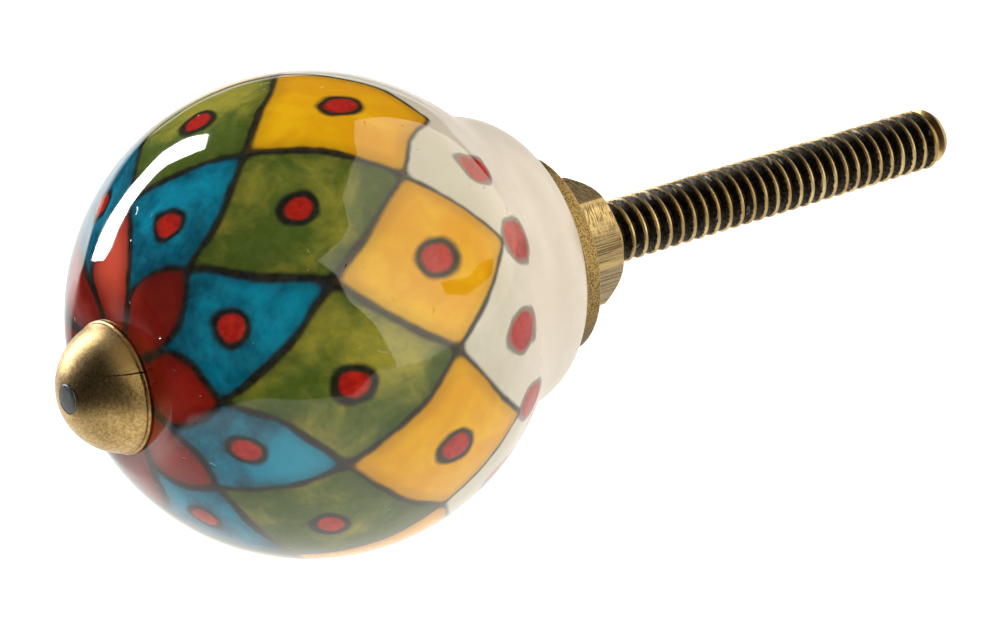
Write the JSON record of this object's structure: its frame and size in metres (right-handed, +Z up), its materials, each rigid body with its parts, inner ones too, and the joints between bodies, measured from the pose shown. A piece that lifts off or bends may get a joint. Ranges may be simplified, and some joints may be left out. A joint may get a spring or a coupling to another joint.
{
  "type": "cabinet knob",
  "caption": "Round painted ceramic cabinet knob with a small domed brass cap, a flanged hexagon nut and a long threaded rod for fixing through a door or drawer front.",
  "frame": {"origin": "centre of the nut's end face, which bears on the door or drawer front", "axes": "+Y along the rod, out of the nut and through the door or drawer front, so the face of the knob looks along -Y; +Z up"},
  "size_m": [0.0322, 0.0721, 0.0322],
  "materials": {
    "glazed_ceramic": "glossy glaze over hand painting",
    "antique_brass": "darkened and rubbed",
    "cap_brass": "polished",
    "plated_steel": "antique brass plating, dark in the thread"
  },
  "bodies": {
    "root": {"ceramic_knob": "glazed_ceramic", "flange_nut": "antique_brass", "front_cap": "cap_brass", "threaded_rod": "plated_steel"}
  },
  "joints": []
}
